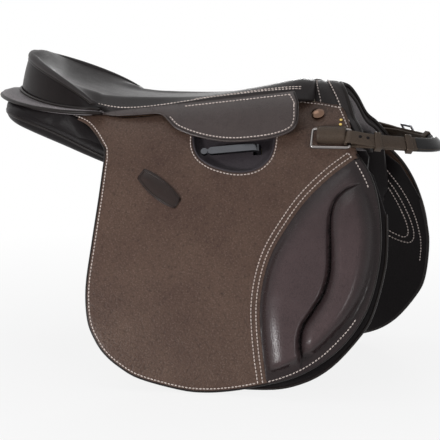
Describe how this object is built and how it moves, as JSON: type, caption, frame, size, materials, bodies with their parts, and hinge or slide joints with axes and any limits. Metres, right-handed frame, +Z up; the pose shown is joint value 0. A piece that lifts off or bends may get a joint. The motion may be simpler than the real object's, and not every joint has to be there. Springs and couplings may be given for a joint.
{
  "type": "jumping saddle",
  "caption": "Leather jumping saddle: seat on a tree, padded panels, forward flaps with knee pads, lifting skirts over stirrup bars, girth straps, and a grab strap at the front.",
  "frame": {"origin": "on the mid-plane, at the height where the panels bear on the horse's back, over the stirrup bars' line", "axes": "+X towards the horse's head, +Y to its left side, +Z up"},
  "size_m": [0.6425, 0.4496, 0.4231],
  "materials": {
    "brown_leather": "satin",
    "black_leather": "satin",
    "dark_leather": "satin",
    "steel": "satin",
    "brass": "polished",
    "beech": "matte",
    "webbing": "matte",
    "foam": "matte"
  },
  "bodies": {
    "frame": {"tree": "beech", "tree_point_right": "beech", "tree_point_left": "beech", "gullet_plate": "steel", "tree_springs": "steel", "seat_web": "webbing", "seat_foam": "foam", "seat_cover": "black_leather", "pommel_strip": "black_leather", "head_cover": "black_leather", "cantle_cover": "black_leather", "cantle_welt": "dark_leather", "rear_ledge": "black_leather", "panel_right": "black_leather", "panel_left": "black_leather", "sweat_flap_right": "black_leather", "sweat_flap_left": "black_leather", "flap_head_right": "brown_leather", "flap_head_left": "brown_leather", "bar_lining_right": "dark_leather", "bar_lining_left": "dark_leather", "stirrup_bar_right": "steel", "stirrup_bar_left": "steel", "catch_pins": "steel", "bar_rivets": "steel", "girth_web_right": "webbing", "girth_web_left": "webbing", "buckle_guard_right": "dark_leather", "buckle_guard_left": "dark_leather", "ring_sleeve_right": "brown_leather", "ring_sleeve_left": "brown_leather", "saddle_nails": "steel", "patch_rivets": "brass"},
    "flap_right": {"flap_right": "brown_leather", "knee_pad_right": "dark_leather", "flap_plate": "dark_leather"},
    "flap_left": {"flap_left": "brown_leather", "knee_pad_left": "dark_leather"},
    "skirt_right": {"skirt_right": "brown_leather"},
    "skirt_left": {"skirt_left": "brown_leather"},
    "catch_right": {"catch_right": "steel"},
    "catch_left": {"catch_left": "steel"},
    "billet_front_right": {"billet_front_right": "brown_leather"},
    "billet_front_left": {"billet_front_left": "brown_leather"},
    "billet_mid_right": {"billet_mid_right": "brown_leather"},
    "billet_mid_left": {"billet_mid_left": "brown_leather"},
    "billet_rear_right": {"billet_rear_right": "brown_leather"},
    "billet_rear_left": {"billet_rear_left": "brown_leather"},
    "ring_right": {"ring_right": "steel"},
    "ring_left": {"ring_left": "steel"},
    "grab_strap": {"grab_strap": "brown_leather", "strap_keepers": "brown_leather", "strap_buckle": "steel"},
    "buckle_tongue": {"buckle_tongue": "steel"}
  },
  "joints": [
    {"name": "flap_lift_right", "type": "hinge", "parent": "frame", "child": "flap_right", "pos_m": [0, -0.11045, 0.031], "axis": [-0.9886, -0.1506, 0], "range_deg": [0, 70]},
    {"name": "flap_lift_left", "type": "hinge", "parent": "frame", "child": "flap_left", "pos_m": [0, 0.11045, 0.031], "axis": [0.9886, -0.1506, 0], "range_deg": [0, 70]},
    {"name": "skirt_lift_right", "type": "hinge", "parent": "frame", "child": "skirt_right", "pos_m": [0.04634, -0.0694, 0.1008], "axis": [-0.9812, -0.1495, -0.1222], "range_deg": [0, 90]},
    {"name": "skirt_lift_left", "type": "hinge", "parent": "frame", "child": "skirt_left", "pos_m": [0.04634, 0.0694, 0.1008], "axis": [0.9812, -0.1495, 0.1222], "range_deg": [0, 90]},
    {"name": "catch_turn_right", "type": "hinge", "parent": "frame", "child": "catch_right", "pos_m": [0.02815, -0.10815, 0.03165], "axis": [-0.1261, 0.8273, -0.5475], "range_deg": [0, 90]},
    {"name": "catch_turn_left", "type": "hinge", "parent": "frame", "child": "catch_left", "pos_m": [0.02815, 0.10815, 0.03165], "axis": [0.1261, 0.8273, 0.5475], "range_deg": [0, 90]},
    {"name": "billet_front_swing_right", "type": "hinge", "parent": "frame", "child": "billet_front_right", "pos_m": [0.10641, -0.11174, -0.019], "axis": [0.1321, -0.8669, 0.4806], "range_deg": [-3, 3]},
    {"name": "billet_front_swing_left", "type": "hinge", "parent": "frame", "child": "billet_front_left", "pos_m": [0.10641, 0.11174, -0.019], "axis": [-0.1321, -0.8669, -0.4806], "range_deg": [-3, 3]},
    {"name": "billet_mid_swing_right", "type": "hinge", "parent": "frame", "child": "billet_mid_right", "pos_m": [0.00261, -0.12756, -0.019], "axis": [0.1321, -0.8669, 0.4806], "range_deg": [-3, 3]},
    {"name": "billet_mid_swing_left", "type": "hinge", "parent": "frame", "child": "billet_mid_left", "pos_m": [0.00261, 0.12756, -0.019], "axis": [-0.1321, -0.8669, -0.4806], "range_deg": [-3, 3]},
    {"name": "billet_rear_swing_right", "type": "hinge", "parent": "frame", "child": "billet_rear_right", "pos_m": [-0.06462, -0.1378, -0.019], "axis": [0.1321, -0.8669, 0.4806], "range_deg": [-3, 3]},
    {"name": "billet_rear_swing_left", "type": "hinge", "parent": "frame", "child": "billet_rear_left", "pos_m": [-0.06462, 0.1378, -0.019], "axis": [-0.1321, -0.8669, -0.4806], "range_deg": [-3, 3]},
    {"name": "ring_swing_right", "type": "hinge", "parent": "frame", "child": "ring_right", "pos_m": [0.17979, -0.06888, 0.06145], "axis": [-0.9886, -0.1506, 0], "range_deg": [0, 3]},
    {"name": "ring_swing_left", "type": "hinge", "parent": "frame", "child": "ring_left", "pos_m": [0.17979, 0.06888, 0.06145], "axis": [0.9886, -0.1506, 0], "range_deg": [0, 3]},
    {"name": "strap_lift", "type": "hinge", "parent": "frame", "child": "grab_strap", "pos_m": [0.20589, 0, 0.05055], "axis": [0, -1, 0], "range_deg": [0, 35], "deforming": ["grab_strap"]},
    {"name": "tongue_turn", "type": "hinge", "parent": "grab_strap", "child": "buckle_tongue", "pos_m": [0.25998, 0.05622, 0.04853], "axis": [0.2728, 0.5885, -0.7611], "range_deg": [0, 100]}
  ]
}
